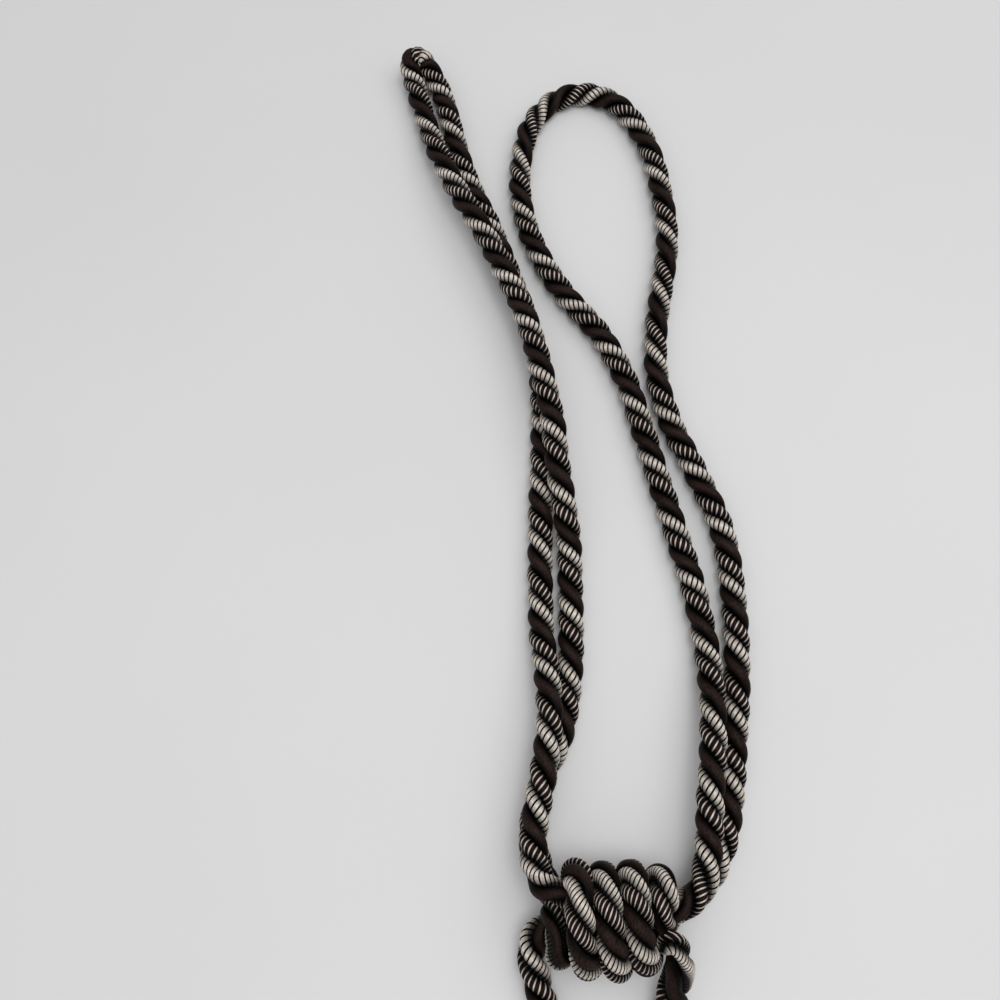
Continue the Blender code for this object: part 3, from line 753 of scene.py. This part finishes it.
# Each profile lists: place in the pitch, rise, and what the surface from there on is.
CREAM_PROFILE = [
    (0.00, -0.14 * MM, THREAD), (0.16, -0.11 * MM, THREAD), (0.32, -0.14 * MM, YARN),
    (0.52, 0.03 * MM, YARN), (0.80, 0.03 * MM, YARN),
]
STRIPED_PROFILE = [
    (0.00, -0.08 * MM, THREAD), (0.13, 0.05 * MM, THREAD), (0.26, -0.08 * MM, YARN),
    (0.48, 0.02 * MM, YARN), (0.78, 0.02 * MM, YARN),
]
PLAIN_PROFILE = [(0.0, 0.0, YARN), (0.5, 0.0, YARN)]
WRAP_PITCHES = (1.48 * MM, 1.00 * MM)       # in the loose rope, and in the knot
PLAIN_PITCHES = (1.6 * MM, 1.2 * MM)
# Degrees round a strand from its outer side: closer together where it shows.
COLUMNS = (-165, -102, -72, -44, -15, 15, 44, 72, 102, 165)
PLAIN_COLUMNS = (-165, -126, -104, -86, -68, -51, -34, -17, 0, 17, 34, 51, 68, 86, 104, 126, 165)


def add_dark_strand(rope):
    yarn = yarn_material("dark_yarn", (0.006, 0.003, 0.002), (0.042, 0.026, 0.022), 0.45, 0.0,
                         painted_shade=DARK_YARN_PAINTED_SHADE, specular=0.04)
    return strand_mesh(rope, "rope_dark_strand", DARK, [yarn, yarn], PLAIN_PROFILE,
                       PLAIN_PITCHES, PLAIN_COLUMNS)


def add_striped_strand(rope):
    yarn = yarn_material("wound_dark_yarn", (0.008, 0.003, 0.002), (0.026, 0.013, 0.010), 0.5, 0.0,
                         painted_shade=DARK_YARN_PAINTED_SHADE, specular=0.04)
    thread = yarn_material("cream_thread", (0.50, 0.45, 0.40), (0.82, 0.755, 0.69), 0.5, 0.05,
                           painted_shade=LIGHT_YARN_PAINTED_SHADE)
    return strand_mesh(rope, "rope_striped_strand", STRIPED, [yarn, thread], STRIPED_PROFILE,
                       WRAP_PITCHES, COLUMNS)


def add_cream_strand(rope):
    yarn = yarn_material("cream_yarn", (0.48, 0.42, 0.36), (0.90, 0.825, 0.745), 0.5, 0.03,
                         painted_shade=LIGHT_YARN_PAINTED_SHADE)
    thread = yarn_material("dark_thread", (0.003, 0.001, 0.001), (0.009, 0.004, 0.003), 0.6, 0.0,
                           painted_shade=DARK_YARN_PAINTED_SHADE, specular=0.03)
    return strand_mesh(rope, "rope_cream_strand", CREAM, [yarn, thread], CREAM_PROFILE,
                       WRAP_PITCHES, COLUMNS)


def add_rope():
    rope = Rope()
    dark, striped, cream = add_dark_strand(rope), add_striped_strand(rope), add_cream_strand(rope)
    for strand in (dark, striped, cream):
        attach(strand, "root")
        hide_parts("rope")


# ---------------------------------------------------------------- tassel
TASSEL_X, HEAD_TOP_Y, HEAD_Z = 0.0324, -0.1083, 0.0192
HEAD_PROFILE = [            # (distance below the head's top face, radius)
    (0.0000, 0.0018), (0.0000, 0.0060), (0.0000, 0.0104),
    (0.0006, 0.0117), (0.0016, 0.0128), (0.0034, 0.0146), (0.0064, 0.0168), (0.0102, 0.0186),
    (0.0150, 0.0197), (0.0205, 0.0200), (0.0260, 0.0196), (0.0310, 0.0184), (0.0350, 0.0167),
    (0.0378, 0.0150), (0.0394, 0.0136), (0.0436, 0.0135), (0.0478, 0.0132),
]
HEAD_STEP = 0.0007
HEAD_MEAN_RADIUS = 0.016
RIDGES = 66                 # lengths of yarn laid side by side over the head
RIDGE_CUTS = 6
RIDGE_DEPTH = 0.00030
RIDGES_FADE = 0.008         # nearer to the head's axis than this the ridges flatten
NECK = (0.0398, 0.0474, 0.0138)      # from, to, and how far out the binding thread winds
BAND = (0.0487, 0.0548, 0.0130)
BINDING_PITCH = 0.00095
BINDING_RADIUS = 0.00052
BINDING_LAY = 1.0           # the thread itself is almost untwisted
BINDING_SIDES = 8
TURN_CUTS = 72
SKIRT_TOP = 0.0484          # below the head's top face
SKIRT_LENGTH = 0.118
SKIRT_UNEVEN = 0.0035
BAND_LENGTH = 0.007
SKIRT_COLUMNS = 17
SKIRT_TALLEST = 11
SKIRT_ROOT_RADIUS = 0.0118
SKIRT_HALF_WIDTH = 0.0162
ROWS_APART = 1.75           # at the tips, in radii of a yarn
TIP_ASTRAY = 0.0004
YARN_RADIUS = 0.00098
YARN_LAY = 0.0066
YARN_STARTS = (0, 6.28)     # the angle at which a yarn's twist starts: any, in radians
YARN_GROOVE = 0.34
YARN_STEP = 0.00095
YARN_SIDES = 6
PLIES = 2
LIGHT_YARNS = 0.22          # share of the skirt's yarns
LEAVES_BAND_AT = 0.05       # share of a yarn's length from which it spreads and sinks
LIES_FLAT_AT = 0.5
SPREAD_POWER = 0.7
WANDER = 0.0005             # how far a yarn strays to either side, in so many waves
WANDER_WAVES = (0.8, 1.6)
PATHS_SEED, YARNS_SEED = 11, 5


def ring_faces(rows, sides, first=0):
    """Faces of a closed tube of rings, with both ends closed."""
    row, side = np.divmod(np.arange((rows - 1) * sides), sides)
    a, b = first + row * sides + side, first + row * sides + (side + 1) % sides
    quads = np.stack([a, b, b + sides, a + sides], axis=1).tolist()
    start = [first + k for k in range(sides - 1, -1, -1)]
    end = [first + (rows - 1) * sides + k for k in range(sides)]
    return quads + [start, end]


def ring_uv(along, radius, sides):
    """Places on the laid out yarn for every corner that ring_faces makes."""
    row, side = np.divmod(np.arange((len(along) - 1) * sides), sides)
    lengths = along * YARN_UNITS
    width = 2 * math.pi * radius / sides * YARN_UNITS
    faces = strip_uv(lengths[row], lengths[row + 1], side * width, (side + 1) * width)
    return np.vstack([faces, np.zeros((2 * sides, 2))])


class Yarns:
    """Many tubes gathered into one mesh."""

    def __init__(self):
        self.points, self.faces, self.uv, self.kinds, self.count = [], [], [], [], 0

    def add(self, rings, along, radius, kind):
        """Adds a tube: its rings of points, their lengths along it, its radius and material."""
        rows, sides, _ = rings.shape
        faces = ring_faces(rows, sides, self.count)
        self.points.append(rings.reshape(-1, 3))
        self.faces += faces
        self.uv.append(ring_uv(along, radius, sides))
        self.kinds += [kind] * len(faces)
        self.count += rows * sides

    def add_piece(self, name, node, slot, materials):
        points = np.vstack(self.points)
        points[:, 2] = np.maximum(points[:, 2], LOWEST)
        piece = add_mesh(name, points - MIDDLE, self.faces, materials, self.kinds, np.vstack(self.uv))
        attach(piece, "root")
        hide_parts(node)


def add_winding(yarns, low, high, out):
    """A binding thread wound closely round the tassel between two depths."""
    turns = (high - low) / BINDING_PITCH
    turn = 2 * math.pi * np.linspace(0, turns, int(turns * TURN_CUTS))
    points = np.stack([TASSEL_X + out * np.cos(turn),
                       HEAD_TOP_Y - low - BINDING_PITCH * turn / (2 * math.pi),
                       HEAD_Z + out * np.sin(turn)], axis=1)
    sides, ups = carried_frames(points)
    along = lengths_along(points)
    place = np.arange(BINDING_SIDES) / BINDING_SIDES
    angle = 2 * math.pi * (place[None, :] + along[:, None] / BINDING_LAY)[..., None]
    rings = sides[:, None, :] * np.cos(angle) + ups[:, None, :] * np.sin(angle)
    yarns.add(points[:, None, :] + BINDING_RADIUS * rings, along, BINDING_RADIUS, THREAD)


def add_head(satin, thread):
    outline = smooth_curve([(depth, radius, 0.0) for depth, radius in HEAD_PROFILE], HEAD_STEP)
    slope = np.gradient(outline, axis=0)
    slope /= np.linalg.norm(slope, axis=1)[:, None]
    columns = RIDGES * RIDGE_CUTS
    angle = 2 * math.pi * np.arange(columns) / columns
    ridge = -RIDGE_DEPTH * (1 - np.abs(np.cos(RIDGES * angle / 2)))
    rise = ridge[None, :] * ramp(outline[:, 1, None], 0.0, RIDGES_FADE)
    depth = outline[:, 0, None] - slope[:, 1, None] * rise
    radius = outline[:, 1, None] + slope[:, 0, None] * rise
    rings = np.stack([TASSEL_X + radius * np.cos(angle), HEAD_TOP_Y - depth,
                      HEAD_Z + radius * np.sin(angle)], axis=-1)
    head = Yarns()
    head.add(rings, lengths_along(outline), HEAD_MEAN_RADIUS, YARN)
    add_winding(head, *NECK)
    head.add_piece("tassel_head_yarn", "tassel_head", "head_yarn", [satin, thread])


def skirt_paths():
    """Root and tip of each skirt yarn, column by column across the skirt."""
    draw = random.Random(PATHS_SEED)
    root_y = HEAD_TOP_Y - SKIRT_TOP
    paths = []
    for column in range(SKIRT_COLUMNS):
        share = 2 * (column + 0.5) / SKIRT_COLUMNS - 1
        height = math.sqrt(1 - share * share)
        count = max(int(round(SKIRT_TALLEST * height)), 2)
        for row in range(count):
            level = 2 * (row + 0.5) / count - 1
            root = (TASSEL_X + SKIRT_ROOT_RADIUS * share,
                    root_y, HEAD_Z + SKIRT_ROOT_RADIUS * height * level)
            tip_x = TASSEL_X + SKIRT_HALF_WIDTH * share + draw.uniform(-TIP_ASTRAY, TIP_ASTRAY)
            length = BAND_LENGTH + SKIRT_LENGTH - draw.uniform(-SKIRT_UNEVEN, SKIRT_UNEVEN)
            tip = (tip_x, root_y - length, YARN_RADIUS * (1 + row * ROWS_APART))
            paths.append((root, tip))
    return paths


def skirt_yarn_line(draw, root, tip):
    """A yarn's middle line: out of the band, then spreading, and sinking to lie flat."""
    share = np.linspace(0, 1, int(abs(tip[1] - root[1]) / YARN_STEP))
    left = ramp(share, LEAVES_BAND_AT, 1.0)
    sunk = ramp(left, 0.0, LIES_FLAT_AT)
    sunk = sunk * sunk * (3 - 2 * sunk)
    wander = WANDER * np.sin(2 * math.pi * (draw.uniform(*WANDER_WAVES) * share + draw.random()))
    across = blend(root[0], tip[0], left ** SPREAD_POWER) + wander * ramp(left, 0.0, 0.25)
    return np.stack([across, blend(root[1], tip[1], share), blend(root[2], tip[2], sunk)], axis=1)


def twisted_rings(points, start):
    """Rings of a plied yarn that turns with its lay, with one ridge to each ply."""
    place = 2 * math.pi * np.arange(YARN_SIDES) / YARN_SIDES
    angle = place[None, :] + 2 * math.pi * lengths_along(points)[:, None] / YARN_LAY + start
    out = YARN_RADIUS * (1 - YARN_GROOVE * (1 - np.cos(PLIES * place)) / 2)
    across = np.stack([np.cos(angle), np.zeros_like(angle), np.sin(angle)], axis=-1)
    return points[:, None, :] + out[None, :, None] * across


def add_skirt(satin, cream, thread):
    draw = random.Random(YARNS_SEED)
    dark_skirt, light_skirt = Yarns(), Yarns()
    add_winding(dark_skirt, *BAND)
    for root, tip in skirt_paths():
        points = skirt_yarn_line(draw, root, tip)
        yarns = light_skirt if draw.random() < LIGHT_YARNS else dark_skirt
        rings = twisted_rings(points, draw.uniform(*YARN_STARTS))
        yarns.add(rings, lengths_along(points), YARN_RADIUS, YARN)
    dark_skirt.add_piece("tassel_skirt_dark_yarns", "tassel_skirt", "skirt_yarn", [satin, thread])
    light_skirt.add_piece("tassel_skirt_light_yarns", "tassel_skirt", "skirt_yarn", [cream, thread])


def add_tassel():
    satin = yarn_material("head_satin", (0.007, 0.004, 0.003), (0.042, 0.026, 0.022), 0.42, 0.08,
                          fibre=WOUND_FIBRE, specular=0.15)
    thread = yarn_material("binding_thread", (0.005, 0.003, 0.002), (0.026, 0.014, 0.011), 0.5, 0.05,
                           fibre=BINDING_FIBRE, specular=0.12)
    cream = yarn_material("skirt_cream", (0.42, 0.36, 0.29), (0.66, 0.59, 0.51), 0.55, 0.3,
                          fibre=WOUND_FIBRE)
    add_head(satin, thread)
    add_skirt(satin, cream, thread)


# ---------------------------------------------------------------- table and light
TABLE_SIZE = 8.0
ROOM_STRENGTH = 0.42
LIT_PLACE = (0.0, 0.05, 0.0)        # what the lights face
LIGHTS = [                  # name, place, side, power
    ("window", (0.55, 0.25, 1.25), 1.3, 6.5),
    ("fill", (-0.6, -0.5, 1.3), 1.2, 2.0),
    ("ceiling", (0.05, -0.10, 1.40), 0.7, 5.0),
]


def add_floor():
    bpy.ops.mesh.primitive_plane_add(size=TABLE_SIZE, location=(0, 0, 0))
    floor = bpy.context.object
    floor.name = "table"
    floor.data.materials.append(floor_material())


def add_light(name, place, side, power):
    data = bpy.data.lights.new(name, "AREA")
    data.shape = "RECTANGLE"
    data.size, data.size_y = side, side
    data.energy = power
    light = bpy.data.objects.new(name, data)
    light.location = place
    light.rotation_euler = (Vector(LIT_PLACE) - Vector(place)).to_track_quat("-Z", "Y").to_euler()
    bpy.context.scene.collection.objects.link(light)


def add_lights():
    world = bpy.data.worlds.new("room")
    world.use_nodes = True
    world.node_tree.nodes["Background"].inputs["Color"].default_value = (1.0, 1.0, 1.0, 1.0)
    world.node_tree.nodes["Background"].inputs["Strength"].default_value = ROOM_STRENGTH
    bpy.context.scene.world = world
    for light in LIGHTS:
        add_light(*light)


def main():
    bpy.context.scene.view_settings.view_transform = "Standard"
    add_camera()
    add_rope()
    add_tassel()
    add_floor()
    add_lights()


main()
